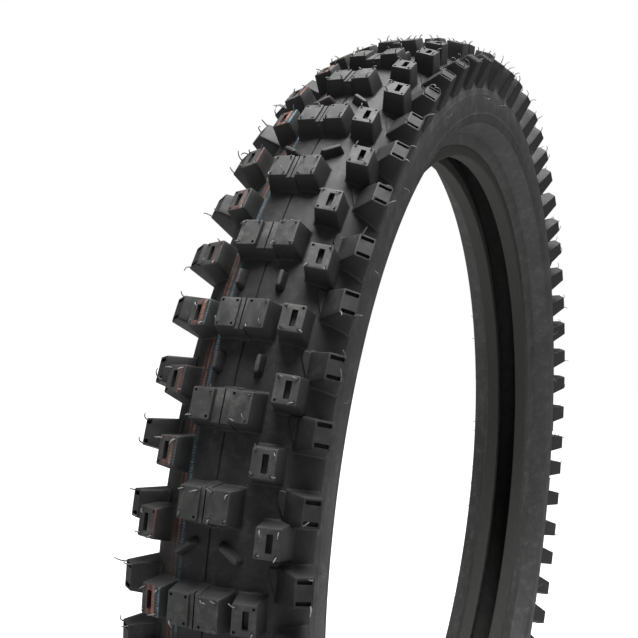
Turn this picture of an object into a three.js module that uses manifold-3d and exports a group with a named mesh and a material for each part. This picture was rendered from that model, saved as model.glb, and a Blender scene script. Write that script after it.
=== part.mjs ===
// Off-road front tyre for a 21-inch wheel, unmounted. Millimetres, +Z up, spin axis along Y,
// origin at the wheel centre. A profile point is [y, r]: y across the tyre from its centre
// plane, r from the spin axis. Rings are lathed about Y. Every knob is part of the tread.
import * as THREE from "three";
import { mergeVertices } from "three/addons/utils/BufferGeometryUtils.js";
import Module from "manifold-3d";

const wasm = await Module();
wasm.setup();

// Overall size and the casing's outer outline: crown arc, shoulder arc, sidewall arc, bead.
const TREAD_TOP_R = 346;
const TREAD_DEPTH = 9.5;
const CROWN_ARC_R = 53.4;
const CROWN_END_DEG = 30.5;
const SHOULDER_ARC_R = 29.2;
const SHOULDER_END_DEG = 80;
const SIDEWALL_ARC_R = 40;
const SIDEWALL_END_DEG = 112;
const BEAD_FACE_Y = 20.5;
const BEAD_BASE_R = 264;
const BEAD_TOP_R = 272;

// Layers. The tread and sidewall rubber is thinner at the shoulder than the belt package is at the crown.
const SEGMENTS = 30;
const FLATNESS = 0.01;
const GAP = 0.3;
const TREAD_BASE = 3.8;
const SIDE_RUBBER = 3.4;
const BELT_LAYER = 1.0;
const PLY = 0.8;
const TREAD_EDGE_DEG = 76;
const SIDE_FOOT_DEG = 38;
const TREAD_STATIONS_DEG = [0, 19, SIDE_FOOT_DEG, 57, TREAD_EDGE_DEG];
const BELT_EDGE_DEG = 30;
const BELT_STATIONS_DEG = [0, BELT_EDGE_DEG];
const PLY_CROWN_DEPTH = TREAD_BASE + 2 * BELT_LAYER + 3 * GAP;
const PLY_SIDE_DEPTH = SIDE_RUBBER + GAP;
const SLANT_RISE = 0.5;

// Bead bundle, from the rim side: chafer, ply turn-up, bead wrap, wire tapes.
const CHAFER = 0.9;
const WRAP = 0.5;
const TAPE_WIDTH = 3.1;
const TAPE_HEIGHT = 0.9;
const TAPE_TURNS = 3;
const FILLER_TIP = 7;
const TURN_UP_LENGTH = 11;

// Tread pattern: eight equal units round the tyre, each mirrored about its middle row.
const UNITS = 8;
const UNIT_DEG = 360 / UNITS;
const MIDDLE_ROW_DEG = 22.5;
const ROW_STEP_DEG = 7.5;
const V_GAP_EXTRA_DEG = 0.2;
const MID_STEP_DEG = UNIT_DEG / 8;
const SIDE_OFFSETS_DEG = [2.8, 8.2, 14.1, 20.0];
const SIDE_LEAD_DEG = { right: -0.3, left: -1.7 };
const ROW_LENGTH = 14.9;
const MID_LENGTH = 13.9;
const SIDE_LENGTH = 13.2;
const DRAFT = 2.0;
const ROW_SIDE_DRAFT = 1.4;
const ROW_INNER_DRAFT = 0.8;
const MID_SIDE_DRAFT = 0.4;
const CLOSE_TOP_Y = [2.2, 13];
const WIDE_TOP_Y = [4.6, 15.6];
const WIDE_TOP_DROP = 0.5;
const MID_ARC_R = 104.6;
const MID_WIDTH = 11.2;
const MID_INNER_Y = [19.4, 23.7, 19.6, 25.8, 18.6];
const MID_LEAN_INWARDS = 2.9;
const SIDE_TOP = [[42.4, 333.1], [49.5, 327.9]];
const SIDE_HEEL_DEG = 75;
const CROWN_SINK = 2.9;
const FOOT_SINK = 1.9;
const HEEL_SINK = 1.0;
const TIE_BAR_LENGTH = 16.1;
const TIE_BAR_LAP = 0.5;
const CLOSE_BAR_TOP_R = 344.7;
const WIDE_BAR_TOP_R = 343.1;

// Small ridges on the base between rows: straight ones beside the middle row, and V-shaped
// pairs beside the first row. Each size is [length, width, height above the base].
const NUB_TOP = [10, 1.4, 4.8];
const NUB_BASE = [13.6, 3.6, -2.9];
const STRAIGHT_NUB = { y: 10.5, offsetDeg: 3.7, turnDeg: 0, shortenedBy: 2 };
const V_NUB = { y: 11, offsetDeg: 4.25, turnDeg: 53, shortenedBy: 0 };

const RUBBER = { color: 0x1c1c1d, roughness: 0.75, metalness: 0 };
const SIDEWALL_RUBBER = { color: 0x202021, roughness: 0.65, metalness: 0 };
const CUSHION_RUBBER = { color: 0x29292a, roughness: 0.85, metalness: 0 };
const FILLER_RUBBER = { color: 0x151516, roughness: 0.8, metalness: 0 };
const LINER_RUBBER = { color: 0x242425, roughness: 0.55, metalness: 0 };
const NYLON_CORD = { color: 0x8f8a7c, roughness: 0.9, metalness: 0 };
const CHAFER_FABRIC = { color: 0x2e2c2a, roughness: 0.95, metalness: 0 };
const BRONZED_WIRE = { color: 0x9a7b4f, roughness: 0.35, metalness: 1 };

const radians = THREE.MathUtils.degToRad;

// The point at a distance from a centre, in a direction measured from straight out, in degrees.
function along([y, r], deg, distance) {
  return [y + distance * Math.sin(radians(deg)), r + distance * Math.cos(radians(deg))];
}

const crownCentre = [0, TREAD_TOP_R - TREAD_DEPTH - CROWN_ARC_R];
const shoulderCentre = along(crownCentre, CROWN_END_DEG, CROWN_ARC_R - SHOULDER_ARC_R);
const sidewallCentre = along(shoulderCentre, SHOULDER_END_DEG, SHOULDER_ARC_R - SIDEWALL_ARC_R);

// A point of the casing's outer outline, moved inwards by depth.
function casePoint(deg, depth = 0) {
  if (deg <= CROWN_END_DEG) return along(crownCentre, deg, CROWN_ARC_R - depth);
  if (deg <= SHOULDER_END_DEG) return along(shoulderCentre, deg, SHOULDER_ARC_R - depth);
  return along(sidewallCentre, deg, SIDEWALL_ARC_R - depth);
}

const mirrored = (points) => points.map(([y, r]) => [-y, r]).reverse();
const bothSides = (right) => [...mirrored(right), ...right.slice(1)];

// The crown's surface at a distance from the centre plane, moved inwards by depth.
function crownPoint(y, depth = 0) {
  return [y, crownCentre[1] + Math.sqrt(CROWN_ARC_R ** 2 - y ** 2) - depth];
}

// A closed ring from an outer and an inner line that both run the same way.
function ring(outer, inner) {
  const outline = [...outer, ...[...inner].reverse()];
  const area = outline.reduce((sum, [y, r], i) => {
    const [nextY, nextR] = outline[(i + 1) % outline.length];
    return sum + y * nextR - nextY * r;
  }, 0);
  if (area > 0) outline.reverse();
  const points = [...outline, outline[0]].map(([y, r]) => new THREE.Vector2(r, y));
  return new THREE.LatheGeometry(points, SEGMENTS, Math.PI / SEGMENTS);
}

function solid(geometry) {
  const bare = geometry.clone();
  bare.deleteAttribute("normal");
  bare.deleteAttribute("uv");
  const merged = mergeVertices(bare, 1e-4);
  const triVerts = new Uint32Array(merged.index.array);
  const vertProperties = new Float32Array(merged.attributes.position.array);
  return new wasm.Manifold(new wasm.Mesh({ numProp: 3, vertProperties, triVerts }));
}

function geometryOf(manifold) {
  const { vertProperties, triVerts } = manifold.getMesh();
  const geometry = new THREE.BufferGeometry();
  geometry.setAttribute("position", new THREE.BufferAttribute(vertProperties, 3));
  geometry.setIndex(new THREE.BufferAttribute(triVerts, 1));
  geometry.computeVertexNormals();
  return geometry;
}

// A tapered rubber block at an angle round the tyre. Its top and base each run between two
// profile points, and its length round the tyre grows from top to base by the draft.
function block(top, base, topLength, deg) {
  const geometry = new THREE.BoxGeometry(1, 1, 1);
  const position = geometry.attributes.position;
  for (let i = 0; i < position.count; i++) {
    const atTop = position.getZ(i) > 0;
    const [y, r] = (atTop ? top : base)[position.getY(i) > 0 ? 1 : 0];
    const length = atTop ? topLength : topLength + 2 * DRAFT;
    position.setXYZ(i, position.getX(i) * length, y, r);
  }
  geometry.rotateY(radians(90 - deg));
  return solid(geometry);
}

// The same block on the right and on the left of the tyre.
function blockPair(top, base, topLength, deg) {
  return [
    block(top, base, topLength, deg),
    block(mirrored(top), mirrored(base), topLength, deg),
  ];
}

// A row of the centre: two flat-topped knobs, close together with a tie-bar, or spread wide.
function centreRow(wide, deg) {
  const [innerY, outerY] = wide ? WIDE_TOP_Y : CLOSE_TOP_Y;
  const topR = TREAD_TOP_R - (wide ? WIDE_TOP_DROP : 0);
  const top = [[innerY, topR], [outerY, topR]];
  const baseY = [innerY - ROW_INNER_DRAFT, outerY + ROW_SIDE_DRAFT];
  const base = baseY.map((y) => crownPoint(y, CROWN_SINK));
  const barEdges = [-innerY - TIE_BAR_LAP, innerY + TIE_BAR_LAP];
  const barTopR = wide ? WIDE_BAR_TOP_R : CLOSE_BAR_TOP_R;
  const barTop = barEdges.map((y) => [y, barTopR]);
  const barBase = barEdges.map((y) => crownPoint(y, CROWN_SINK));
  return [
    ...blockPair(top, base, ROW_LENGTH, deg),
    block(barTop, barBase, TIE_BAR_LENGTH, deg),
  ];
}

// An intermediate knob's top follows a flatter arc than the casing. The knob leans outwards.
function midKnobs(innerY, deg) {
  const top = [innerY, innerY + MID_WIDTH].map((y) => [
    y,
    TREAD_TOP_R - MID_ARC_R + Math.sqrt(MID_ARC_R ** 2 - y ** 2),
  ]);
  const baseInnerY = innerY - MID_LEAN_INWARDS - MID_SIDE_DRAFT;
  const baseOuterY = innerY + MID_WIDTH - MID_LEAN_INWARDS + MID_SIDE_DRAFT;
  const base = [baseInnerY, baseOuterY].map((y) => crownPoint(y, CROWN_SINK));
  return blockPair(top, base, MID_LENGTH, deg);
}

// A side knob leans out over the shoulder, with a long ramp from its foot on the crown.
function sideKnobs(deg) {
  const base = [casePoint(SIDE_FOOT_DEG, FOOT_SINK), casePoint(SIDE_HEEL_DEG, HEEL_SINK)];
  return [
    block(SIDE_TOP, base, SIDE_LENGTH, deg + SIDE_LEAD_DEG.right),
    block(mirrored(SIDE_TOP), mirrored(base), SIDE_LENGTH, deg + SIDE_LEAD_DEG.left),
  ];
}

// Four nubs about a row: on its two sides, right and left of the centre plane.
function nubs({ y, offsetDeg, turnDeg, shortenedBy }, deg) {
  const made = [];
  for (const ahead of [-1, 1]) {
    for (const side of [-1, 1]) {
      const geometry = new THREE.BoxGeometry(1, 1, 1);
      const position = geometry.attributes.position;
      for (let i = 0; i < position.count; i++) {
        const [length, width, height] = position.getZ(i) > 0 ? NUB_TOP : NUB_BASE;
        const x = position.getX(i) * (length - shortenedBy);
        position.setXYZ(i, x, position.getY(i) * width, height);
      }
      geometry.rotateZ(radians(turnDeg * ahead * side));
      geometry.translate(0, y * side, 0);
      for (let i = 0; i < position.count; i++) {
        position.setZ(i, crownPoint(position.getY(i), -position.getZ(i))[1]);
      }
      geometry.rotateY(radians(90 - deg - offsetDeg * ahead));
      made.push(solid(geometry));
    }
  }
  return made;
}

// One unit of the pattern: rows, then nubs, intermediate knobs and side knobs.
function unitKnobs(middleDeg) {
  const knobs = [];
  for (let row = -2; row <= 3; row++) {
    const besideV = Math.abs(row) < 3 ? V_GAP_EXTRA_DEG * 0.5 * row : 0;
    const wide = Math.abs(row) === 1;
    knobs.push(...centreRow(wide, middleDeg + ROW_STEP_DEG * row - besideV));
  }
  knobs.push(...nubs(STRAIGHT_NUB, middleDeg), ...nubs(V_NUB, middleDeg + 3 * ROW_STEP_DEG));
  for (let step = -3; step <= 4; step++) {
    const innerY = MID_INNER_Y[Math.abs(step)];
    knobs.push(...midKnobs(innerY, middleDeg + MID_STEP_DEG * step));
  }
  for (const offset of SIDE_OFFSETS_DEG) {
    for (const sign of [-1, 1]) {
      knobs.push(...sideKnobs(middleDeg + sign * offset));
    }
  }
  return knobs;
}

function treadGeometry() {
  const outer = TREAD_STATIONS_DEG.map((deg) => casePoint(deg));
  const inner = [
    ...BELT_STATIONS_DEG.map((deg) => casePoint(deg, TREAD_BASE)),
    casePoint(60, SIDE_RUBBER),
    casePoint(TREAD_EDGE_DEG, SIDE_RUBBER),
  ];
  let tread = solid(ring(bothSides(outer), bothSides(inner)));
  for (let unit = 0; unit < UNITS; unit++) {
    for (const knob of unitKnobs(MIDDLE_ROW_DEG + unit * UNIT_DEG)) tread = tread.add(knob);
  }
  // The joins split flat faces, and this makes each flat face whole again.
  return geometryOf(tread.setTolerance(FLATNESS).asOriginal().simplify(FLATNESS));
}

// A thin band under the crown of the tread.
function beltGeometry(depth) {
  const line = (d) => bothSides(BELT_STATIONS_DEG.map((deg) => casePoint(deg, d)));
  return ring(line(depth), line(depth + BELT_LAYER));
}

// Where a layer's line, coming down the sidewall, turns straight down at the bead.
const beadTurnR = (y) => BEAD_TOP_R + 3 + SLANT_RISE * (BEAD_FACE_Y - y);

// The casing line of a ply or of the liner, counted in depth under the outermost ply's face.
function carcassLine(depth) {
  const crown = BELT_STATIONS_DEG.map((deg) => casePoint(deg, PLY_CROWN_DEPTH + depth));
  const side = [60, 90, SIDEWALL_END_DEG].map((deg) => casePoint(deg, PLY_SIDE_DEPTH + depth));
  return [...crown, ...side];
}

// Bead stack, as faces across the bead: outer faces count in from the rim side.
const outerPlyFace = BEAD_FACE_Y - CHAFER - GAP;
const turnUpFace = outerPlyFace - PLY - GAP;
const wrapFace = turnUpFace - PLY - GAP;
const tapeFace = wrapFace - WRAP - GAP;
const wrapInnerFace = tapeFace - TAPE_WIDTH - GAP;
const innerPlyFace = wrapInnerFace - WRAP - GAP;
const linerFace = innerPlyFace - PLY - GAP;
const toeFace = linerFace - PLY - GAP;
const plyBaseR = BEAD_BASE_R + CHAFER + GAP;
const wrapBaseR = plyBaseR + PLY + GAP;
const tapeBaseR = wrapBaseR + WRAP + GAP;
const fillerBaseR = tapeBaseR + TAPE_TURNS * (TAPE_HEIGHT + GAP);

// The way the outer ply runs up from the bead to the sidewall.
const slant = new THREE.Vector2(...casePoint(SIDEWALL_END_DEG, PLY_SIDE_DEPTH))
  .sub(new THREE.Vector2(outerPlyFace, beadTurnR(outerPlyFace)))
  .normalize();
const upSlant = ([y, r], distance) => [y + distance * slant.x, r + distance * slant.y];

// The outer body ply ends at the heel of each bead, outside the inner ply's turn-up.
function outerPlyGeometry() {
  const line = (depth) => {
    const y = outerPlyFace - depth;
    return bothSides([...carcassLine(depth), [y, beadTurnR(y)], [y, plyBaseR]]);
  };
  return ring(line(0), line(PLY));
}

// The inner body ply runs under each bead core and turns up on its outside.
function innerPlyGeometry() {
  const line = (depth) => {
    const innerY = innerPlyFace - depth;
    const outerY = turnUpFace - PLY + depth;
    const baseR = plyBaseR + PLY - depth;
    const turn = [outerY, beadTurnR(outerY)];
    return bothSides([
      ...carcassLine(PLY + GAP + depth),
      [innerY, beadTurnR(innerY)],
      [innerY, baseR],
      [outerY, baseR],
      turn,
      upSlant(turn, TURN_UP_LENGTH),
    ]);
  };
  return ring(line(0), line(PLY));
}

function linerGeometry() {
  const line = (depth) => {
    const y = linerFace - depth;
    return bothSides([...carcassLine(2 * (PLY + GAP) + depth), [y, beadTurnR(y)], [y, plyBaseR]]);
  };
  return ring(line(0), line(PLY));
}

// The rest come in pairs. Each outline is for the +Y side.
const sidewallLines = [
  [
    ...[TREAD_EDGE_DEG + 0.9, 88, 100, SIDEWALL_END_DEG].map((deg) => casePoint(deg)),
    [BEAD_FACE_Y + 4, BEAD_TOP_R + 3.5],
    [BEAD_FACE_Y, BEAD_TOP_R + GAP],
  ],
  [
    ...[TREAD_EDGE_DEG + 0.9, 90, SIDEWALL_END_DEG].map((deg) => casePoint(deg, SIDE_RUBBER)),
    [outerPlyFace + GAP, beadTurnR(outerPlyFace + GAP)],
    [outerPlyFace + GAP, BEAD_TOP_R + GAP],
  ],
];

const chaferLines = [
  [
    [BEAD_FACE_Y, BEAD_TOP_R],
    [BEAD_FACE_Y, BEAD_BASE_R + 1.5],
    [BEAD_FACE_Y - 1.5, BEAD_BASE_R],
    [toeFace - CHAFER, BEAD_BASE_R],
    [toeFace - CHAFER, BEAD_TOP_R],
  ],
  [
    [BEAD_FACE_Y - CHAFER, BEAD_TOP_R],
    [BEAD_FACE_Y - CHAFER, BEAD_BASE_R + CHAFER],
    [toeFace, BEAD_BASE_R + CHAFER],
    [toeFace, BEAD_TOP_R],
  ],
];

const wrapLines = [0, WRAP].map((depth) => [
  [wrapFace - depth, BEAD_TOP_R + 3],
  [wrapFace - depth, wrapBaseR + depth],
  [wrapInnerFace - WRAP + depth, wrapBaseR + depth],
  [wrapInnerFace - WRAP + depth, BEAD_TOP_R + 4],
]);

const fillerLines = [
  [
    [tapeFace, fillerBaseR],
    [tapeFace, beadTurnR(tapeFace)],
    upSlant([tapeFace, beadTurnR(tapeFace)], FILLER_TIP),
  ],
  [
    [tapeFace - TAPE_WIDTH, fillerBaseR],
    [tapeFace - TAPE_WIDTH, BEAD_TOP_R + 5],
  ],
];

const tapeLines = (turn) => {
  const lowR = tapeBaseR + turn * (TAPE_HEIGHT + GAP);
  return [lowR, lowR + TAPE_HEIGHT].map((r) => [[tapeFace, r], [tapeFace - TAPE_WIDTH, r]]);
};

const tyre = new THREE.Group();

function add(name, geometry, look) {
  const mesh = new THREE.Mesh(geometry, new THREE.MeshStandardMaterial(look));
  mesh.name = name;
  tyre.add(mesh);
}

// The +Y side is the right-hand side of the tyre, and the -Y side the left.
function addPair(name, lines, look, suffix = "") {
  add(`${name}_right${suffix}`, ring(...lines), look);
  add(`${name}_left${suffix}`, ring(...lines.map(mirrored)), look);
}

add("tread", treadGeometry(), RUBBER);
add("undertread", beltGeometry(TREAD_BASE + GAP), CUSHION_RUBBER);
add("breaker", beltGeometry(TREAD_BASE + BELT_LAYER + 2 * GAP), NYLON_CORD);
add("body_ply_outer", outerPlyGeometry(), NYLON_CORD);
add("body_ply_inner", innerPlyGeometry(), NYLON_CORD);
add("inner_liner", linerGeometry(), LINER_RUBBER);
addPair("sidewall", sidewallLines, SIDEWALL_RUBBER);
addPair("chafer", chaferLines, CHAFER_FABRIC);
addPair("bead_wrap", wrapLines, NYLON_CORD);
addPair("bead_filler", fillerLines, FILLER_RUBBER);
for (let turn = 0; turn < TAPE_TURNS; turn++) {
  addPair("bead_wire_tape", tapeLines(turn), BRONZED_WIRE, `_${turn + 1}`);
}

export default tyre;
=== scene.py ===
import math
import random

import bpy
import numpy as np
from mathutils import Matrix, Vector


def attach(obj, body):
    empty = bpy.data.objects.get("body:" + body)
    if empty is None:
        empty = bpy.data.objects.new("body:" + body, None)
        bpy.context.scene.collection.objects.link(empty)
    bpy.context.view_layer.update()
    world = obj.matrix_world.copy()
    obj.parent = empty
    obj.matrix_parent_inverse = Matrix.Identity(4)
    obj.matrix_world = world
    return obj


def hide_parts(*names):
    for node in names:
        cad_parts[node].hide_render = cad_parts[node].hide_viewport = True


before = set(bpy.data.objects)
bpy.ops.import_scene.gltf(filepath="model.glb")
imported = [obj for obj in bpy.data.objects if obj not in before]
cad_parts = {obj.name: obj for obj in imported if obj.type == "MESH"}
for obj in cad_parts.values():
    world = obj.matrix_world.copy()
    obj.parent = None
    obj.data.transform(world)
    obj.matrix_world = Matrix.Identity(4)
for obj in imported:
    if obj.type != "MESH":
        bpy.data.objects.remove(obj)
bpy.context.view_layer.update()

MM = 0.001
# Segments round a ring that shows, and round a layer inside.
FINE = 240
HIDDEN = 120

# The casing's outline: crown arc, shoulder arc and sidewall arc, by direction in degrees.
TOP_R, TREAD_DEPTH = 346.0, 9.5
CROWN_R, CROWN_END = 53.4, 30.5
SHOULDER_R, SHOULDER_END = 29.2, 80.0
SIDE_R, SIDE_END = 40.0, 112.0
BEAD_Y, BEAD_BASE, BEAD_TOP = 20.5, 264.0, 272.0
TREAD_BASE, SIDE_RUBBER, BELT, PLY, GAP = 3.8, 3.4, 1.0, 0.8, 0.3
TREAD_EDGE, BELT_EDGE = 76.0, 30.0
CROWN_ARC_LENGTH = CROWN_R * math.radians(CROWN_END)


def along(point, deg, distance):
    a = math.radians(deg)
    return (point[0] + distance * math.sin(a), point[1] + distance * math.cos(a))


CROWN_C = (0.0, TOP_R - TREAD_DEPTH - CROWN_R)
SHOULDER_C = along(CROWN_C, CROWN_END, CROWN_R - SHOULDER_R)
SIDE_C = along(SHOULDER_C, SHOULDER_END, SHOULDER_R - SIDE_R)


def case(deg, depth=0.0):
    """The outline's point in a direction, moved inwards by depth. Negative is the left side."""
    size = abs(deg)
    if size <= CROWN_END:
        y, r = along(CROWN_C, size, CROWN_R - depth)
    elif size <= SHOULDER_END:
        y, r = along(SHOULDER_C, size, SHOULDER_R - depth)
    else:
        y, r = along(SIDE_C, size, SIDE_R - depth)
    return (math.copysign(y, deg), r)


def case_at(arc, height=0.0):
    """The outline's point at an arc length in mm from the middle, raised by height."""
    size = abs(arc)
    if size <= CROWN_ARC_LENGTH:
        deg = math.degrees(size / CROWN_R)
    else:
        deg = CROWN_END + math.degrees((size - CROWN_ARC_LENGTH) / SHOULDER_R)
    return case(math.copysign(deg, arc), -height)


def arc_at(y):
    """The arc length along the outline from the middle out to y."""
    crown_end_y = CROWN_R * math.sin(math.radians(CROWN_END))
    if y <= crown_end_y:
        return CROWN_R * math.asin(y / CROWN_R)
    lean = math.asin((y - SHOULDER_C[0]) / SHOULDER_R)
    return CROWN_ARC_LENGTH + SHOULDER_R * (lean - math.radians(CROWN_END))


# ---- meshes -------------------------------------------------------------------------------


def joined(shapes):
    """One (points, faces) out of many."""
    points, faces, start = [], [], 0
    for p, f in shapes:
        points.append(np.asarray(p, float))
        faces += [[start + i for i in face] for face in f]
        start += len(p)
    return np.concatenate(points), faces


def flipped(shape):
    """The left-hand twin of a local shape."""
    points = np.array(shape[0], float) * (1, -1, 1)
    return points, [face[::-1] for face in shape[1]]


def placed(shape, deg):
    """A local shape put at an angle round the tyre."""
    a = math.radians(deg)
    u, y, r = np.asarray(shape[0], float).T
    points = np.stack([r * math.cos(a) + u * math.sin(a), y, r * math.sin(a) - u * math.cos(a)], 1)
    return points, shape[1]


def lofted(loops, capped=True):
    """Skins a list of equal point loops, first to last."""
    n, faces = len(loops[0]), []
    for k in range(len(loops) - 1):
        for i in range(n):
            j = (i + 1) % n
            faces.append([k * n + i, k * n + j, (k + 1) * n + j, (k + 1) * n + i])
    if capped:
        faces.append(list(range(n))[::-1])
        faces.append([(len(loops) - 1) * n + i for i in range(n)])
    return np.concatenate([np.asarray(loop, float) for loop in loops]), faces


def lathed(profile, segments=FINE):
    """A closed profile of (y, r) points turned about the spin axis."""
    y, r = np.array(profile, float).T
    if np.sum(y * np.roll(r, -1) - np.roll(y, -1) * r) > 0:
        y, r = y[::-1], r[::-1]
    angles = np.arange(segments) * 2 * math.pi / segments
    loops = [np.stack([r * math.cos(a), y, r * math.sin(a)], 1) for a in angles]
    points, faces = lofted(loops, capped=False)
    n, last = len(y), (segments - 1) * len(y)
    faces += [[last + i, last + (i + 1) % n, (i + 1) % n, i] for i in range(n)]
    return points, faces


def piece(name, shape, look, nodes=(), crease=32):
    """A shaded Blender object that rides on the tyre and stands for some CAD nodes."""
    mesh = bpy.data.meshes.new(name)
    mesh.from_pydata((shape[0] * MM).tolist(), [], shape[1])
    mesh.materials.append(look)
    mesh.shade_smooth()
    mesh.set_sharp_from_angle(angle=math.radians(crease))
    made = bpy.data.objects.new(name, mesh)
    bpy.context.scene.collection.objects.link(made)
    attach(made, "root")
    if nodes:
        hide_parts(*nodes)
    return made


def carved(shape, cutters):
    """A local shape with others cut out of it."""
    made = []
    for points, faces in (shape, joined(cutters)):
        mesh = bpy.data.meshes.new("carving")
        mesh.from_pydata(np.asarray(points).tolist(), [], faces)
        made.append(bpy.data.objects.new("carving", mesh))
        bpy.context.scene.collection.objects.link(made[-1])
    cut = made[0].modifiers.new("cut", "BOOLEAN")
    cut.operation, cut.solver, cut.object = "DIFFERENCE", "EXACT", made[1]
    graph = bpy.context.evaluated_depsgraph_get()
    result = bpy.data.meshes.new_from_object(made[0].evaluated_get(graph))
    points = np.array([v.co[:] for v in result.vertices])
    faces = [list(face.vertices) for face in result.polygons]
    for o in made:
        bpy.data.objects.remove(o)
    return points, faces


# ---- knobs --------------------------------------------------------------------------------

CORNER_STEPS = 4
SIDE_STEPS = 3
FILLET = 0.9
FOOT_SPREAD, FOOT_SINK = 0.4, 0.8


def rounded(length, width, corner):
    """A rounded rectangle, as points from -1 to 1 both ways, anticlockwise."""
    hl, hw = length / 2, width / 2
    points = []
    for turn, (sx, sy) in enumerate([(1, -1), (1, 1), (-1, 1), (-1, -1)]):
        centre = (sx * (hl - corner), sy * (hw - corner))
        arc = []
        for step in range(CORNER_STEPS):
            a = math.radians(-90 + 90 * turn + 90 * step / (CORNER_STEPS - 1))
            arc.append((centre[0] + corner * math.cos(a), centre[1] + corner * math.sin(a)))
        points.append(arc)
    loop = []
    for arc, following in zip(points, points[1:] + points[:1]):
        loop += arc
        (x0, y0), (x1, y1) = arc[-1], following[0]
        for step in range(1, SIDE_STEPS + 1):
            t = step / (SIDE_STEPS + 1)
            loop.append((x0 + (x1 - x0) * t, y0 + (y1 - y0) * t))
    return np.array(loop) / (hl, hw)


def mixed(a, b, t):
    return a + (b - a) * t


def knob(top, top_length, base_arc, base_length, corner=0.8, bevel=0.35):
    """A rubber block with a filleted foot on the casing and a soft-edged flat top.

    top is its inner and outer (y, r), base_arc where its walls meet the casing, in mm of arc."""
    (y0, r0), (y1, r1) = top
    width = math.hypot(y1 - y0, r1 - r0)
    outline = rounded(top_length, width, corner)
    share = (outline[:, 1] + 1) / 2
    out_y, out_r = -(r1 - r0) / width, (y1 - y0) / width

    def top_loop(inset, drop):
        a = outline * (1 - 2 * inset / top_length, 1 - 2 * inset / width)
        s = (a[:, 1] + 1) / 2
        y, r = mixed(y0, y1, s) - drop * out_y, mixed(r0, r1, s) - drop * out_r
        return np.stack([a[:, 0] * top_length / 2, y, r], 1)

    def base_loop(spread, height):
        u = outline[:, 0] * (base_length / 2 + spread)
        arcs = mixed(base_arc[0] - spread, base_arc[1] + spread, share)
        y, r = np.array([case_at(arc, height) for arc in arcs]).T
        return np.stack([u, y, np.sqrt(r * r - u * u)], 1)

    foot = [base_loop(FILLET + FOOT_SPREAD, -FOOT_SINK)]
    for deg in (0, 30, 60):
        a = math.radians(deg)
        foot.append(base_loop(FILLET * (1 - math.sin(a)), FILLET * (1 - math.cos(a))))
    wall_low, wall_high = base_loop(0.0, FILLET), top_loop(0.0, bevel)
    walls = [mixed(wall_low, wall_high, t) for t in (0, 1 / 3, 2 / 3, 1)]
    edge = [top_loop(0.3 * bevel, 0.3 * bevel), top_loop(bevel, 0.0)]
    return lofted(foot + walls + edge)


def prism(corners, low, high):
    """A local prism between two heights, its outline given as (u, y) points."""
    return lofted([[(u, y, r) for u, y in corners] for r in (low, high)])


SLOT_CORNER = 0.45
ARC_SHARE = 0.999  # keeps a corner's arc just off the slot's straight sides
VENT_R, VENT_SIDES = 0.75, 8
CUT_ABOVE = 1  # how far a cutter stands out of the rubber


def slot_cutter(u, y, length, width, low, high):
    """A slot with small round corners that runs along u by length and across by width."""
    half = (length / 2 - SLOT_CORNER, width / 2 - SLOT_CORNER)
    corners = []
    for turn, (sx, sy) in enumerate([(1, -1), (1, 1), (-1, 1), (-1, -1)]):
        for step in range(CORNER_STEPS):
            a = math.radians(-90 + 90 * turn + 90 * step / (CORNER_STEPS - 1))
            corners.append((u + sx * half[0] + ARC_SHARE * SLOT_CORNER * math.cos(a),
                            y + sy * half[1] + ARC_SHARE * SLOT_CORNER * math.sin(a)))
    return prism(corners, low, high)


def vent_cutter(u, y, low, high):
    corners = [(u + VENT_R * math.cos(a), y + VENT_R * math.sin(a))
               for a in np.arange(VENT_SIDES) * 2 * math.pi / VENT_SIDES]
    return prism(corners, low, high)


def leaned(shape, pivot, lean_deg):
    """A local shape tilted about the tread direction, so that +r turns towards +y."""
    a = math.radians(lean_deg)
    u, y, r = np.asarray(shape[0], float).T
    dy, dr = y - pivot[0], r - pivot[1]
    turned = np.stack([u, pivot[0] + dy * math.cos(a) + dr * math.sin(a),
                       pivot[1] - dy * math.sin(a) + dr * math.cos(a)], 1)
    return turned, shape[1]


VENT_INSET = 1.6
VENT_DEPTH = 1.0
CENTRE_LENGTH, MID_LENGTH, SIDE_LENGTH = 14.9, 13.9, 13.2
BASE_GROWTH = 3.2
MID_R, MID_WIDTH = 104.6, 11.2
MID_C = (0.0, TOP_R - MID_R)
SIDE_TOP = ((42.4, 333.1), (49.5, 327.9))
# How far each foot reaches past its knob's top, or where it starts and ends.
CENTRE_FOOT_IN, CENTRE_FOOT_OUT = 0.6, 1.6
MID_FOOT_IN, MID_FOOT_BACK = 2.9, 2.2
SIDE_FOOT_Y, SIDE_FOOT_END = 30.5, 75
# Slots: length along the tread, width across it, depth.
MID_SLOT, MID_SLOT_AT = (8.4, 2.9, 3.2), 0.56
SIDE_SLOT, SIDE_SLOTS_U = (2.0, 6.8, 1.8), (-4.6, 4.6)
SIDE_VENT_U, SIDE_VENT_Y = 0.9, 1.0
BAR_OVERHANG = 1.2
SLIT_HALF_LENGTH, SLIT_HALF_WIDTH, SLIT_DEPTH = 12, 0.35, 2.2


def corners_of(inner, outer, length):
    """The four vent places near the corners of a top, as (u, distance across the top)."""
    half = length / 2 - VENT_INSET
    return [(su * half, across) for su in (-1, 1) for across in (inner, outer)]


def centre_knob(inner, outer, top_r):
    block = knob(((inner, top_r), (outer, top_r)), CENTRE_LENGTH,
                 (inner - CENTRE_FOOT_IN, outer + CENTRE_FOOT_OUT), CENTRE_LENGTH + BASE_GROWTH)
    vents = corners_of(inner + VENT_INSET, outer - VENT_INSET, CENTRE_LENGTH)
    cuts = [vent_cutter(u, y, top_r - VENT_DEPTH, top_r + CUT_ABOVE) for u, y in vents]
    return carved(block, cuts), [(u, y, top_r, 0.0) for u, y in vents]


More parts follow.
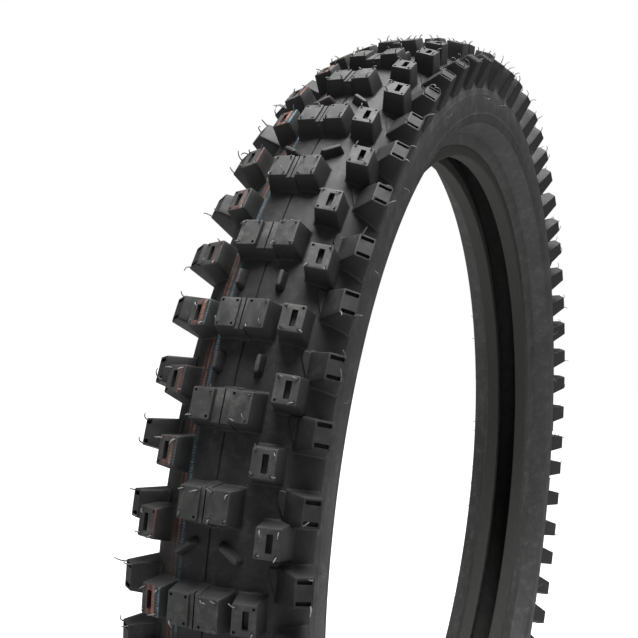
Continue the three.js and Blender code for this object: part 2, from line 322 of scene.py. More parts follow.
def tilted_places(places, pivot, lean):
    """Places on a leaning top, as (u, y, r, lean), from (u, distance across the top)."""
    a = math.radians(lean)
    return [(u, pivot[0] + d * math.cos(a), pivot[1] - d * math.sin(a), lean) for u, d in places]


def mid_knob(inner):
    low, high = (math.degrees(math.asin(y / MID_R)) for y in (inner, inner + MID_WIDTH))
    ends = along(MID_C, low, MID_R), along(MID_C, high, MID_R)
    base_arc = [arc_at(inner - MID_FOOT_IN), arc_at(inner + MID_WIDTH - MID_FOOT_BACK)]
    block = knob(ends, MID_LENGTH, base_arc, MID_LENGTH + BASE_GROWTH, bevel=0.5)
    width = math.dist(*ends)
    lean = (low + high) / 2
    y, r = ends[0]
    places = corners_of(VENT_INSET, width - VENT_INSET, MID_LENGTH)
    cuts = [vent_cutter(u, y + d, r - VENT_DEPTH, r + CUT_ABOVE) for u, d in places]
    length, across, depth = MID_SLOT
    cuts.append(slot_cutter(0, y + MID_SLOT_AT * width, length, across, r - depth, r + 2 * CUT_ABOVE))
    return carved(block, [leaned(cut, ends[0], lean) for cut in cuts]), tilted_places(places, ends[0], lean)


def side_knob():
    foot_end = CROWN_ARC_LENGTH + SHOULDER_R * math.radians(SIDE_FOOT_END - CROWN_END)
    block = knob(SIDE_TOP, SIDE_LENGTH, (arc_at(SIDE_FOOT_Y), foot_end), SIDE_LENGTH + BASE_GROWTH)
    width = math.dist(*SIDE_TOP)
    (y, r), (outer_y, outer_r) = SIDE_TOP
    lean = math.degrees(math.atan2(r - outer_r, outer_y - y))
    length, across, depth = SIDE_SLOT
    cuts = [slot_cutter(u, y + 0.5 * width, length, across, r - depth, r + 2 * CUT_ABOVE)
            for u in SIDE_SLOTS_U]
    places = [(su * (SIDE_LENGTH / 2 - SIDE_VENT_U), d)
              for su in (-1, 1) for d in (SIDE_VENT_Y, width - SIDE_VENT_Y)]
    cuts = [leaned(cut, SIDE_TOP[0], lean) for cut in cuts]
    return carved(block, cuts), tilted_places(places, SIDE_TOP[0], lean)


def tie_bar(half_width, top_r):
    """The web between the two knobs of a row, a little longer than they are, with its slit."""
    length = CENTRE_LENGTH + BAR_OVERHANG
    bar = knob(((-half_width, top_r), (half_width, top_r)), length, (-half_width, half_width),
               length + BASE_GROWTH, corner=0.3, bevel=0.2)
    outline = [(su * SLIT_HALF_LENGTH, sy * SLIT_HALF_WIDTH)
               for su, sy in ((-1, -1), (1, -1), (1, 1), (-1, 1))]
    slit = prism(outline, top_r - SLIT_DEPTH, top_r + CUT_ABOVE)
    return carved(bar, [slit])


NUB_WIDTH, NUB_HEIGHT, NUB_SUNK, NUB_CORNER = 5.4, 5.0, 3.0, 0.42
# Height in mm, then the share of the full length and of the full width.
NUB_SECTIONS = ((-NUB_SUNK, 1.0, 1.0), (0.0, 0.95, 0.86), (0.4 * NUB_HEIGHT, 0.86, 0.68),
                (0.8 * NUB_HEIGHT, 0.76, 0.5), (0.95 * NUB_HEIGHT, 0.71, 0.36), (NUB_HEIGHT, 0.64, 0.16))


def nub(length):
    """A rounded ridge along u, standing at the origin."""
    outline = rounded(length, NUB_WIDTH, NUB_WIDTH * NUB_CORNER)
    loops = []
    for height, long_share, wide_share in NUB_SECTIONS:
        points = outline * (length / 2 * long_share, NUB_WIDTH / 2 * wide_share)
        loops.append(np.column_stack([points, np.full(len(points), height)]))
    return lofted(loops)


PAD_SECTIONS = ((-FOOT_SINK, 1.0), (0.35, 1.0), (0.8, 0.84))


def pad(corners):
    """A thin flat patch on the casing, its outline given as (u, arc) points."""
    middle = np.mean(corners, 0)
    loops = []
    for height, share in PAD_SECTIONS:
        loop = []
        for corner in corners:
            u, arc = middle + (np.array(corner) - middle) * share
            y, r = case_at(arc, height)
            loop.append((u, y, math.sqrt(r * r - u * u)))
        loops.append(loop)
    return lofted(loops)


def standing(shape, turn_deg, y):
    """Turns an upright local shape about its height, and stands it on the crown at y."""
    a = math.radians(turn_deg)
    px, py, pz = np.asarray(shape[0], float).T
    points = np.stack([px * math.cos(a) - py * math.sin(a),
                       px * math.sin(a) + py * math.cos(a), pz], 1)
    lean = math.degrees(math.asin(y / CROWN_R))
    foot = case(lean)
    return leaned((points + (0, foot[0], foot[1]), shape[1]), foot, lean)


# ---- looks --------------------------------------------------------------------------------


class Nodes:
    """A short way to write a material's nodes."""

    def __init__(self, name):
        self.material = bpy.data.materials.new(name)
        self.material.use_nodes = True
        self.tree = self.material.node_tree
        self.tree.nodes.clear()
        self.shader = self.tree.nodes.new("ShaderNodeBsdfPrincipled")
        output = self.tree.nodes.new("ShaderNodeOutputMaterial")
        self.tree.links.new(self.shader.outputs[0], output.inputs[0])
        self.geometry = self.tree.nodes.new("ShaderNodeNewGeometry")
        self.place = self.geometry.outputs["Position"]

    def link(self, value, socket):
        if isinstance(value, bpy.types.NodeSocket):
            self.tree.links.new(value, socket)
        else:
            socket.default_value = value

    def math(self, operation, *values, clamp=False):
        node = self.tree.nodes.new("ShaderNodeMath")
        node.operation, node.use_clamp = operation, clamp
        for value, socket in zip(values, node.inputs):
            self.link(value, socket)
        return node.outputs[0]

    def noise(self, scale, detail, roughness):
        node = self.tree.nodes.new("ShaderNodeTexNoise")
        node.inputs["Scale"].default_value = scale
        node.inputs["Detail"].default_value = detail
        node.inputs["Roughness"].default_value = roughness
        self.link(self.place, node.inputs["Vector"])
        return node.outputs["Fac"]

    def ramp(self, value, stops):
        node = self.tree.nodes.new("ShaderNodeValToRGB")
        while len(node.color_ramp.elements) < len(stops):
            node.color_ramp.elements.new(0.5)
        for element, (position, colour) in zip(node.color_ramp.elements, stops):
            element.position = position
            element.color = (*colour, 1) if isinstance(colour, tuple) else (colour,) * 3 + (1,)
        self.link(value, node.inputs[0])
        return node.outputs[0]

    def mix(self, amount, a, b):
        node = self.tree.nodes.new("ShaderNodeMix")
        node.data_type = "RGBA"
        self.link(amount, node.inputs[0])
        for value, socket in ((a, node.inputs[6]), (b, node.inputs[7])):
            self.link((*value, 1) if isinstance(value, tuple) else value, socket)
        return node.outputs[2]

    def parts(self, vector):
        split = self.tree.nodes.new("ShaderNodeSeparateXYZ")
        self.link(vector, split.inputs[0])
        return split.outputs

    def polar(self):
        """Distance from the spin axis, place across the tyre, and angle round it."""
        x, y, z = self.parts(self.place)
        squares = self.math("ADD", self.math("MULTIPLY", x, x), self.math("MULTIPLY", z, z))
        return self.math("SQRT", squares), y, self.math("ARCTAN2", z, x)

    def from_upright(self):
        """Distance from the upright axis."""
        x, y, _ = self.parts(self.place)
        squares = self.math("ADD", self.math("MULTIPLY", x, x), self.math("MULTIPLY", y, y))
        return self.math("SQRT", squares)

    def outward(self):
        """How squarely the surface faces away from the spin axis."""
        x, _, z = self.parts(self.place)
        nx, _, nz = self.parts(self.geometry.outputs["True Normal"])
        r, _, _ = self.polar()
        along_r = self.math("ADD", self.math("MULTIPLY", x, nx), self.math("MULTIPLY", z, nz))
        return self.math("DIVIDE", along_r, r)

    def bump(self, height, distance, strength):
        node = self.tree.nodes.new("ShaderNodeBump")
        node.inputs["Strength"].default_value = strength
        node.inputs["Distance"].default_value = distance
        self.link(height, node.inputs["Height"])
        self.link(node.outputs[0], self.shader.inputs["Normal"])

    def finish(self, colour, roughness, **fixed):
        self.link(colour, self.shader.inputs["Base Color"])
        self.link(roughness, self.shader.inputs["Roughness"])
        for name, value in fixed.items():
            self.shader.inputs[name.replace("_", " ")].default_value = value
        return self.material


STRIPES = (  # crown angle in radians, half width, colour, depth of the ticked edge
    (-0.295, 0.0180, (0.15, 0.26, 0.34), 0.009),
    (-0.356, 0.0170, (0.38, 0.15, 0.10), 0.003),
    (-0.412, 0.0150, (0.24, 0.07, 0.06), 0.003),
)
TICKS_ROUND = 1500.0
SOFT_EDGE = 0.005
# GREY_DUST is real dust; the other two tones are painted shade for the tread's base and knob walls and
# painted light for its knob tops.
GREY_DUST, PAINTED_SHADE_TONE, PAINTED_LIGHT_TONE = (0.20, 0.20, 0.195), (0.013, 0.013, 0.013), (0.12, 0.12, 0.117)
TREAD_FLOOR_R = TOP_R - TREAD_DEPTH
ROUGH_SPAN = 0.22


def rubber(name, dark, light, stripes=False, rough=0.62, dusty=0.15):
    """Moulded rubber: uneven tone, dusty scuffs, mould skin, and on the tread painted stripes, painted
    shade on its base and knob walls and painted light on its knob tops.
    """
    n = Nodes(name)
    patches = n.noise(26, 5, 0.62)
    scuffs = n.noise(170, 6, 0.75)
    grain = n.noise(1500, 3, 0.6)
    tone = n.math("ADD", n.math("MULTIPLY", patches, 0.6), n.math("MULTIPLY", scuffs, 0.4))
    colour = n.ramp(tone, [(0.34, dark), (0.50, mix_tone(dark, light, 0.35)), (0.66, light)])
    outward = n.outward()
    dust = n.ramp(n.noise(110, 8, 0.8), [(0.47, 0.0), (0.56, 0.4), (0.62, 1.0)])
    rubbed = n.math("MULTIPLY", dust, n.ramp(outward, [(0.6, dusty), (0.95, 0.75)]))
    colour = n.mix(rubbed, colour, mix_tone(light, GREY_DUST, 0.5))
    if stripes:
        r, y, angle = n.polar()
        above = n.math("SUBTRACT", r, TREAD_FLOOR_R * MM)
        high = n.ramp(n.math("DIVIDE", above, SOFT_EDGE, clamp=True), [(0.0, 0.0), (1.0, 1.0)])
        # Painted shade darkens the tread's base and knob walls; painted light pales the outward-facing knob
        # tops.
        colour = n.mix(n.math("MULTIPLY", high, outward), n.mix(0.6, colour, PAINTED_SHADE_TONE),
                       n.mix(0.22, colour, PAINTED_LIGHT_TONE))
        crown = n.math("ARCTAN2", y, n.math("SUBTRACT", r, CROWN_C[1] * MM))
        worn = n.ramp(n.noise(520, 4, 0.75), [(0.38, 0.1), (0.56, 1.0)])
        patchy = n.ramp(n.noise(30, 3, 0.6), [(0.40, 0.3), (0.56, 1.0)])
        facing = n.ramp(outward, [(0.5, 0.03), (0.86, 1.0)])
        shown = n.math("MULTIPLY", n.math("MULTIPLY", worn, patchy), facing)
        shown = n.math("MULTIPLY", shown, n.math("ADD", n.math("MULTIPLY", high, 0.5), 0.5))
        tick = n.math("SINE", n.math("MULTIPLY", angle, TICKS_ROUND))
        for centre, half, paint, ragged in STRIPES:
            off = n.math("ABSOLUTE", n.math("SUBTRACT", crown, centre))
            edge = n.math("ADD", n.math("MULTIPLY", tick, ragged), half)
            inside = n.math("DIVIDE", n.math("SUBTRACT", edge, off), SOFT_EDGE, clamp=True)
            colour = n.mix(n.math("MULTIPLY", inside, shown), colour, paint)
    rough_map = n.math("ADD", n.math("MULTIPLY", scuffs, ROUGH_SPAN), rough - ROUGH_SPAN / 2)
    height = n.math("ADD", n.math("MULTIPLY", grain, 0.35), n.math("MULTIPLY", scuffs, 0.65))
    n.bump(height, 0.00012, 0.8)
    return n.finish(colour, rough_map, Specular_IOR_Level=0.42)


def mix_tone(a, b, t):
    return tuple(p + (q - p) * t for p, q in zip(a, b))


def fabric(name, dark, light, pitch, bias_deg):
    """Cord or weave: ribs that run round the tyre at a bias, with loose fibre tone."""
    n = Nodes(name)
    r, y, angle = n.polar()
    turn = math.tan(math.radians(bias_deg))
    run = n.math("MULTIPLY", angle, 0.3)
    across = n.math("ADD", y, n.math("MULTIPLY", r, 0.7))
    rib = n.math("SINE", n.math("MULTIPLY", n.math("ADD", run, n.math("MULTIPLY", across, turn)),
                                2 * math.pi / pitch))
    cross = n.math("SINE", n.math("MULTIPLY", n.math("SUBTRACT", run, n.math("MULTIPLY", across, turn)),
                                  2 * math.pi / pitch))
    height = n.math("MAXIMUM", rib, n.math("MULTIPLY", cross, 0.6))
    fibre = n.noise(700, 4, 0.7)
    tone = n.math("ADD", n.math("MULTIPLY", height, 0.2), fibre)
    colour = n.ramp(tone, [(0.3, dark), (0.75, light)])
    n.bump(height, 0.00015, 0.7)
    return n.finish(colour, n.math("ADD", n.math("MULTIPLY", fibre, 0.2), 0.7))


def wire(name):
    """Bronze-coated steel wire under a skin of rubber, brushed round the tyre."""
    n = Nodes(name)
    _, y, _ = n.polar()
    streaks = n.noise(900, 3, 0.6)
    colour = n.ramp(streaks, [(0.35, (0.30, 0.21, 0.12)), (0.7, (0.52, 0.40, 0.24))])
    n.bump(n.math("SINE", n.math("MULTIPLY", y, 9000.0)), 0.00005, 0.5)
    return n.finish(colour, n.math("ADD", n.math("MULTIPLY", streaks, 0.25), 0.25), Metallic=1.0)


TREAD = rubber("tread_rubber", (0.026, 0.027, 0.026), (0.050, 0.052, 0.050), stripes=True)
# The sidewall's tones are paler than the tread's: painted light on the sidewall.
SIDEWALL_LIGHT_LOOK = rubber("sidewall_rubber", (0.028, 0.029, 0.028), (0.058, 0.060, 0.058),
                  rough=0.55, dusty=0.4)
CUSHION = rubber("cushion_rubber", (0.03, 0.03, 0.03), (0.05, 0.05, 0.05), rough=0.8)
# The liner's rubber is darker than the tread's: painted shade inside the tyre.
LINER_SHADE_LOOK = rubber("liner_rubber", (0.012, 0.012, 0.012), (0.022, 0.023, 0.022), rough=0.55)
FILLER = rubber("filler_rubber", (0.012, 0.012, 0.012), (0.022, 0.022, 0.022), rough=0.75)
# The vent hairs are the tread's black rubber made pale grey: painted sheen.
HAIR_SHEEN_LOOK = rubber("vent_hair_painted_sheen", (0.09, 0.09, 0.09), (0.26, 0.26, 0.26), rough=0.4)
CORD = fabric("nylon_cord", (0.16, 0.15, 0.11), (0.34, 0.32, 0.25), 0.0012, 55)
WEAVE = fabric("chafer_fabric", (0.018, 0.018, 0.017), (0.045, 0.044, 0.041), 0.0011, 45)
WIRE = wire("bead_wire")

# ---- casing and tread base ----------------------------------------------------------------


def stations(start, end, step):
    count = max(1, round(abs(end - start) / step))
    return [start + (end - start) * i / count for i in range(count + 1)]


def mirrored(line):
    return [(-y, r) for y, r in line][::-1]


def both_sides(line):
    """A line from the middle to the right, carried over to the left."""
    return mirrored(line) + (line[1:] if abs(line[0][0]) < 1e-9 else line)


GROOVE_HALF, GROOVE_FLOOR_HALF, GROOVE_DEPTH = 0.55, 0.25, 0.7
groove_r = CROWN_C[1] + CROWN_R - GROOVE_DEPTH
floor_line = [(0.0, groove_r), (GROOVE_FLOOR_HALF, groove_r)]
crown_line = [case_at(arc) for arc in stations(GROOVE_HALF, CROWN_ARC_LENGTH, 2.0)]
shoulder_line = [case(deg) for deg in stations(CROWN_END + 2, TREAD_EDGE, 3.0)]


SIDE_DEPTH_FROM = 60


def depth_at(deg, crown_depth, side_depth):
    """Rubber depth that thins from the belt's edge out to the shoulder."""
    t = min(1.0, max(0.0, (abs(deg) - BELT_EDGE) / (SIDE_DEPTH_FROM - BELT_EDGE)))
    return crown_depth + (side_depth - crown_depth) * t


def inner_line(crown_depth, side_depth, end):
    return [case(d, depth_at(d, crown_depth, side_depth)) for d in stations(0, end, 4.0)]


tread_under = inner_line(TREAD_BASE, SIDE_RUBBER, TREAD_EDGE)
base_profile = both_sides(floor_line + crown_line + shoulder_line) + both_sides(tread_under)[::-1]
base = lathed(base_profile)

# The tread's pattern, in degrees round the tyre and millimetres across it.
UNITS, UNIT, FIRST_MIDDLE = 8, 45.0, 22.5
ROW_STEP, ROW_CLOSER = 7.5, 0.1
V_NUB_Y, V_NUB_DEG, V_NUB_TURN = 11.0, 4.25, 53.0
STRAIGHT_NUB_Y, STRAIGHT_NUB_DEG = 10.5, 3.7
MID_INNER = [19.4, 23.7, 19.6, 25.8, 18.6]
SIDE_OFFSETS = [2.8, 8.2, 14.1, 20.0]
SIDE_LEAD = (-0.3, -1.7)
SIDE_WEIGHT = 1.7  # marks the side knobs' vents, and lengthens their hairs
FOOT_PAD = ((6.0, 30.6), (-7.5, 31.5), (-8.0, 27.5), (-4.0, 27.2))

close_knob, close_vents = centre_knob(2.2, 13.0, TOP_R)
wide_knob, wide_vents = centre_knob(4.6, 15.6, TOP_R - 0.5)
close_bar, wide_bar = tie_bar(2.6, TOP_R - 1.3), tie_bar(5.2, TOP_R - 2.9)
mids = {inner: mid_knob(inner) for inner in sorted(set(MID_INNER))}
side, side_vents = side_knob()
v_nub, straight_nub = nub(14.4), nub(12.0)
foot_pad = pad([(u, arc_at(y)) for u, y in FOOT_PAD])

centre, intermediate, sides, nubs, bars, vents = [], [], [], [], [], []


def add_pair(target, shape, holes, deg, leads=(0.0, 0.0), weight=1.0):
    """Puts a knob on the right and its twin on the left, and notes their vents."""
    right, left = deg + leads[0], deg + leads[1]
    target += [placed(shape, right), placed(flipped(shape), left)]
    for u, y, r, lean in holes:
        vents.append((u, y, r, lean, right, weight))
        vents.append((u, -y, r, -lean, left, weight))


for unit in range(UNITS):
    middle = FIRST_MIDDLE + UNIT * unit
    for row in range(-2, 4):
        deg = middle + ROW_STEP * row - (ROW_CLOSER * row if abs(row) < 3 else 0)
        if abs(row) == 1:
            shape, holes, bar = wide_knob, wide_vents, wide_bar
        else:
            shape, holes, bar = close_knob, close_vents, close_bar
        add_pair(centre, shape, holes, deg)
        bars.append(placed(bar, deg))
    for step in range(-3, 5):
        shape, holes = mids[MID_INNER[abs(step)]]
        add_pair(intermediate, shape, holes, middle + UNIT / 8 * step)
    for offset in SIDE_OFFSETS:
        for sign in (-1, 1):
            add_pair(sides, side, side_vents, middle + sign * offset, SIDE_LEAD, SIDE_WEIGHT)
            add_pair(nubs, foot_pad, [], middle + sign * offset, SIDE_LEAD)
    for ahead in (-1, 1):
        for hand in (-1, 1):
            straight = standing(straight_nub, 0, STRAIGHT_NUB_Y * hand)
            nubs.append(placed(straight, middle + STRAIGHT_NUB_DEG * ahead))
            v = standing(v_nub, V_NUB_TURN * ahead * hand, V_NUB_Y * hand)
            nubs.append(placed(v, middle + UNIT / 2 + V_NUB_DEG * ahead))

piece("tread_base", base, TREAD, ["tread"])
piece("centre_knobs", joined(centre), TREAD)
piece("tie_bars", joined(bars), TREAD)
piece("intermediate_knobs", joined(intermediate), TREAD)
piece("side_knobs", joined(sides), TREAD)
piece("base_nubs", joined(nubs), TREAD)

# ---- vent hairs ---------------------------------------------------------------------------

chance = random.Random(21)
HAIR_STEPS, HAIR_SIDES, HAIR_ROOT, HAIR_TAPER = 7, 6, 0.9, 0.4
HAIR_THICK, SIDE_HAIR_THICK = 0.85, 0.7
SIDE_HAIR_AT, SIDE_HAIRS = 88, 24


def hair(u, y, r, lean, deg, length, thick):
    """A thin curved whisker that starts just under the surface."""
    a = math.radians(lean)
    normal = np.array([0.0, math.sin(a), math.cos(a)])
    across = np.array([0.0, math.cos(a), -math.sin(a)])
    along_u = np.array([1.0, 0.0, 0.0])
    heading, curl = chance.uniform(0, 2 * math.pi), chance.uniform(0.9, 2.4)
    aside = along_u * math.cos(heading) + across * math.sin(heading)
    hinge = np.cross(normal, aside)
    point, step = np.array([u, y, r]) - normal * HAIR_ROOT, (length + HAIR_ROOT) / HAIR_STEPS
    loops = []
    for k in range(HAIR_STEPS + 1):
        bend = curl * k / HAIR_STEPS
        ahead = normal * math.cos(bend) + aside * math.sin(bend)
        side_way = np.cross(ahead, hinge)
        size = thick / 2 * (1 - HAIR_TAPER * k / HAIR_STEPS)
        loops.append([point + size * (hinge * math.cos(w) + side_way * math.sin(w))
                      for w in np.arange(HAIR_SIDES) * 2 * math.pi / HAIR_SIDES])
        point = point + ahead * step
    return placed(lofted(loops), deg)


hairs = []
for u, y, r, lean, deg, weight in vents:
    if chance.random() < (0.8 if weight == 1.0 else 0.5):
        hairs.append(hair(u, y, r, lean, deg, chance.uniform(2.0, 4.2) * weight, HAIR_THICK))
root_y, root_r = case(SIDE_HAIR_AT)
for turn in range(SIDE_HAIRS):
    for hand in (-1, 1):
        deg = turn * 360 / SIDE_HAIRS + chance.uniform(-5, 5)
        length = chance.uniform(4, 7.5)
        hairs.append(hair(0.0, hand * root_y, root_r, hand * SIDE_HAIR_AT, deg, length, SIDE_HAIR_THICK))
piece("vent_hairs", joined(hairs), HAIR_SHEEN_LOOK, crease=60)

# ---- sidewalls, beads and the layers inside -------------------------------------------------

PLY_Y, PLY_FOOT_R, LINER_Y = 19.3, 265.2, 11.0
PLY_STEP = 1.1  # from one layer of the carcass to the next
TURN_UP = 11  # how far the inner ply runs up outside the filler


def bead_turn(y):
    """Where a layer at y turns off its straight run up the bead, as a distance from the axis."""
    return BEAD_TOP + 3 + 0.5 * (BEAD_Y - y)


# Rings on the sidewall: direction in degrees, height, half width in degrees.
RIDGES = ((84, 0.12, 0.9), (103, 0.4, 1.3), (107, 0.3, 1.0))


def ridge_at(deg):
    """Fine moulded rings round the sidewall."""
    return sum(h * math.exp(-((deg - at) / w) ** 2) for at, h, w in RIDGES)


SIDE_START = TREAD_EDGE + 0.1
side_outer = [case(d, -ridge_at(d)) for d in stations(SIDE_START, SIDE_END, 0.75)]
side_outer += [(BEAD_Y + 6.3, BEAD_TOP + 8.6), (BEAD_Y + 5.4, BEAD_TOP + 8.3),
               (BEAD_Y + 3.2, BEAD_TOP + 4.4), (BEAD_Y + 1.1, BEAD_TOP + 1.5), (BEAD_Y, BEAD_TOP + GAP)]
side_inner = [case(d, SIDE_RUBBER) for d in stations(SIDE_START, SIDE_END, 4.0)]
side_inner += [(PLY_Y + GAP, bead_turn(PLY_Y + GAP)), (PLY_Y + GAP, BEAD_TOP + GAP)]
sidewall = side_outer + side_inner[::-1]

TOE_Y, STRIP = 9.9, 0.9
chafer = [(BEAD_Y, BEAD_TOP), (BEAD_Y, BEAD_BASE + 1.6), (BEAD_Y - 0.3, BEAD_BASE + 0.8),
          (BEAD_Y - 0.9, BEAD_BASE + 0.2), (BEAD_Y - 1.7, BEAD_BASE), (TOE_Y - 0.3, BEAD_BASE),
          (TOE_Y - STRIP, BEAD_BASE + 0.5), (TOE_Y - STRIP, BEAD_TOP), (TOE_Y, BEAD_TOP),
          (TOE_Y, BEAD_BASE + STRIP), (BEAD_Y - STRIP, BEAD_BASE + STRIP), (BEAD_Y - STRIP, BEAD_TOP)]
CARCASS_CROWN, CARCASS_SIDE = 6.7, 3.7


def carcass(depth):
    """A ply's line from the middle towards the bead, counted in depth below the outer ply's top."""
    return inner_line(CARCASS_CROWN + depth, CARCASS_SIDE + depth, SIDE_END)


def layer(line):
    """A closed profile between a line and itself one ply deeper."""
    return both_sides(line(0.0)) + both_sides(line(PLY))[::-1]


def outer_ply(depth):
    y = PLY_Y - depth
    return carcass(depth) + [(y, bead_turn(y)), (y, PLY_FOOT_R)]


ply_foot = np.array([PLY_Y, bead_turn(PLY_Y)])
slant = np.array(case(SIDE_END, CARCASS_SIDE)) - ply_foot
slant = slant / np.linalg.norm(slant)


def inner_ply(depth):
    inner_y, outer_y, base_r = 12.1 - depth, 18.2 - PLY + depth, BEAD_BASE + 2 - depth
    turn = np.array([outer_y, bead_turn(outer_y)])
    foot = [(inner_y, bead_turn(inner_y)), (inner_y, base_r), (outer_y, base_r)]
    return carcass(PLY_STEP + depth) + foot + [tuple(turn), tuple(turn + TURN_UP * slant)]


def liner(depth):
    y = LINER_Y - depth
    return carcass(2 * PLY_STEP + depth) + [(y, bead_turn(y)), (y, PLY_FOOT_R)]


def belt(depth):
    rows = [both_sides([case(d, deep) for d in stations(0, BELT_EDGE, 2.0)])
            for deep in (depth, depth + BELT)]
    return rows[0] + rows[1][::-1]


CORE_Y, FILLER_Y = 13.2, 16.3
FILLER_BASE, FILLER_RISE = BEAD_BASE + 6.7, 7
filler_turn = (FILLER_Y, bead_turn(FILLER_Y))
filler_top = tuple(np.array(filler_turn) + FILLER_RISE * slant)
filler = [(FILLER_Y, FILLER_BASE), filler_turn, filler_top, (CORE_Y, 277), (CORE_Y, FILLER_BASE)]
WRAP_IN, WRAP_OUT, WRAP = 12.4, 17.1, 0.5
WRAP_BASE = 266.3
wrap = [(WRAP_OUT, 275), (WRAP_OUT, WRAP_BASE), (WRAP_IN, WRAP_BASE), (WRAP_IN, 276),
        (WRAP_IN + WRAP, 276), (WRAP_IN + WRAP, WRAP_BASE + WRAP),
        (WRAP_OUT - WRAP, WRAP_BASE + WRAP), (WRAP_OUT - WRAP, 275)]
LAPS, LAP_R, LAP_STEP, LAP_HEIGHT = 3, 267.1, 1.2, 0.9
STRANDS, STRAND_STEP, STRAND_FROM, STRAND_TO = 3, 1.03, 0.08, 0.95


def bead_tape(lap):
    """One turn of the ribbon of wires, as a flat ring."""
    low = LAP_R + lap * LAP_STEP
    edges = [CORE_Y + strand * STRAND_STEP + edge
             for strand in range(STRANDS) for edge in (STRAND_FROM, STRAND_TO)]
    return [(y, low) for y in edges] + [(y, low + LAP_HEIGHT) for y in edges[::-1]]


BREAKER_DEPTH = TREAD_BASE + BELT + 2 * GAP
under = lathed(belt(TREAD_BASE + GAP), HIDDEN)
piece("undertread_band", under, CUSHION, ["undertread"])
piece("breaker_band", lathed(belt(BREAKER_DEPTH), HIDDEN), CORD, ["breaker"])
piece("outer_ply", lathed(layer(outer_ply), HIDDEN), CORD, ["body_ply_outer"])
piece("inner_ply", lathed(layer(inner_ply), HIDDEN), CORD, ["body_ply_inner"])
piece("liner", lathed(layer(liner)), LINER_SHADE_LOOK, ["inner_liner"])
for hand, turned in (("right", list), ("left", mirrored)):
    skin, strip = lathed(turned(sidewall)), lathed(turned(chafer))
    piece(f"sidewall_{hand}_skin", skin, SIDEWALL_LIGHT_LOOK, [f"sidewall_{hand}"])
    piece(f"chafer_{hand}_weave", strip, WEAVE, [f"chafer_{hand}"])
    cover, wedge = lathed(turned(wrap), HIDDEN), lathed(turned(filler), HIDDEN)
    piece(f"bead_wrap_{hand}_cord", cover, CORD, [f"bead_wrap_{hand}"])
    piece(f"bead_filler_{hand}_wedge", wedge, FILLER, [f"bead_filler_{hand}"])
    for lap in range(LAPS):
        tape = lathed(turned(bead_tape(lap)), HIDDEN)
        piece(f"bead_tape_{hand}_{lap + 1}", tape, WIRE, [f"bead_wire_tape_{hand}_{lap + 1}"])

# ---- camera, floor and lights ---------------------------------------------------------------

camera_data = bpy.data.cameras.new("camera")
camera_data.lens, camera_data.sensor_width = 49.54, 36.0
camera_data.clip_start, camera_data.clip_end = 0.01, 100.0
camera = bpy.data.objects.new("camera", camera_data)
bpy.context.scene.collection.objects.link(camera)
eye, aim = Vector((0.6755, 0.2030, 0.1286)), Vector((0.0413, -0.0878, 0.1334))
roll = math.radians(3.67)
forward = (aim - eye).normalized()
level = forward.cross(Vector((0, 0, 1))).normalized()
right = level * math.cos(roll) + level.cross(forward) * math.sin(roll)
up = right.cross(forward)
camera.matrix_world = Matrix((right, up, -forward)).transposed().to_4x4()
camera.location = eye
bpy.context.scene.camera = camera

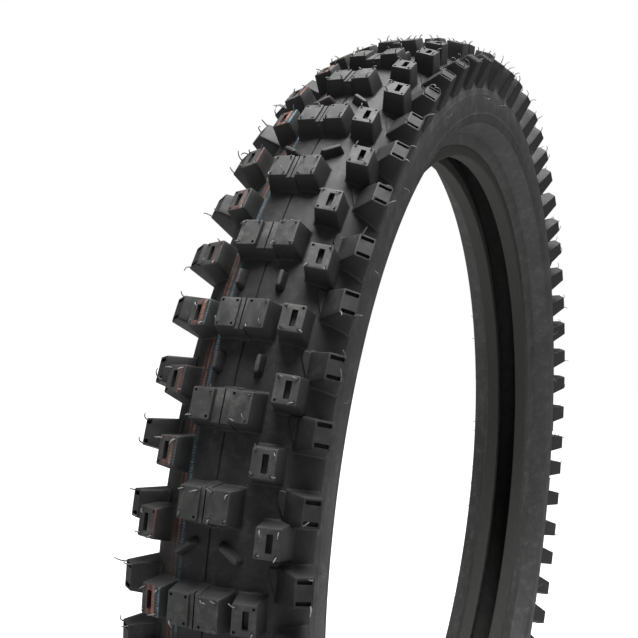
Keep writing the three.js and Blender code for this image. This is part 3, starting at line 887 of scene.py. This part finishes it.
FLOOR_R, FLOOR_SIDES = 9, 64
WHITE = (1, 1, 1, 1)
floor_look = Nodes("studio_floor")
blotches = floor_look.noise(3, 3, 0.5)
pale = floor_look.ramp(blotches, [(0.3, (0.70, 0.70, 0.70)), (0.7, (0.74, 0.74, 0.74))])
fade = floor_look.ramp(floor_look.from_upright(), [(0.38, 0.0), (0.75, 1.0)])
looked_at = floor_look.tree.nodes.new("ShaderNodeLightPath").outputs["Is Camera Ray"]
glow = floor_look.math("MULTIPLY", fade, looked_at)
floor_look.link(WHITE, floor_look.shader.inputs["Emission Color"])
floor_look.link(glow, floor_look.shader.inputs["Emission Strength"])
floor_material = floor_look.finish(floor_look.mix(fade, pale, (0.45, 0.45, 0.45)), 0.7)
floor_mesh = bpy.data.meshes.new("floor")
rim = [(FLOOR_R * math.cos(a), FLOOR_R * math.sin(a), -TOP_R * MM)
       for a in np.arange(FLOOR_SIDES) * 2 * math.pi / FLOOR_SIDES]
floor_mesh.from_pydata(rim, [], [list(range(FLOOR_SIDES))])
floor_mesh.materials.append(floor_material)
floor = bpy.data.objects.new("floor", floor_mesh)
bpy.context.scene.collection.objects.link(floor)


def area(name, place, target, size, power):
    """A round soft light that points at a target."""
    data = bpy.data.lights.new(name, "AREA")
    data.shape, data.size, data.energy = "DISK", size, power
    lamp = bpy.data.objects.new(name, data)
    lamp.location = place
    lamp.rotation_mode = "QUATERNION"
    lamp.rotation_quaternion = (Vector(target) - Vector(place)).to_track_quat("-Z", "Y")
    bpy.context.scene.collection.objects.link(lamp)


area("key", (0.3, 0.2, 2.2), (0.15, 0.0, 0.1), 1.7, 104)
area("back", (-1.5, 1.5, 1.7), (0.0, 0.0, 0.1), 1.3, 8)

# The world lights the tyre by a dome that is darker below, and shows the camera plain white.
world = bpy.data.worlds.new("studio")
bpy.context.scene.world = world
world.use_nodes = True
tree = world.node_tree
tree.nodes.clear()
seen, light = tree.nodes.new("ShaderNodeBackground"), tree.nodes.new("ShaderNodeBackground")
seen.inputs["Color"].default_value = light.inputs["Color"].default_value = WHITE
seen.inputs["Strength"].default_value = 1.0
sky, split = tree.nodes.new("ShaderNodeTexCoord"), tree.nodes.new("ShaderNodeSeparateXYZ")
dome = tree.nodes.new("ShaderNodeValToRGB")
for element, grey in zip(dome.color_ramp.elements, (0.07, 0.44)):
    element.color = (grey, grey, grey, 1)
path, blend = tree.nodes.new("ShaderNodeLightPath"), tree.nodes.new("ShaderNodeMixShader")
world_output = tree.nodes.new("ShaderNodeOutputWorld")
for output, socket in ((sky.outputs["Generated"], split.inputs[0]), (split.outputs[2], dome.inputs[0]),
                       (dome.outputs[0], light.inputs["Strength"]),
                       (path.outputs["Is Camera Ray"], blend.inputs[0]),
                       (light.outputs[0], blend.inputs[1]), (seen.outputs[0], blend.inputs[2]),
                       (blend.outputs[0], world_output.inputs[0])):
    tree.links.new(output, socket)
bpy.context.scene.view_settings.view_transform = "Standard"
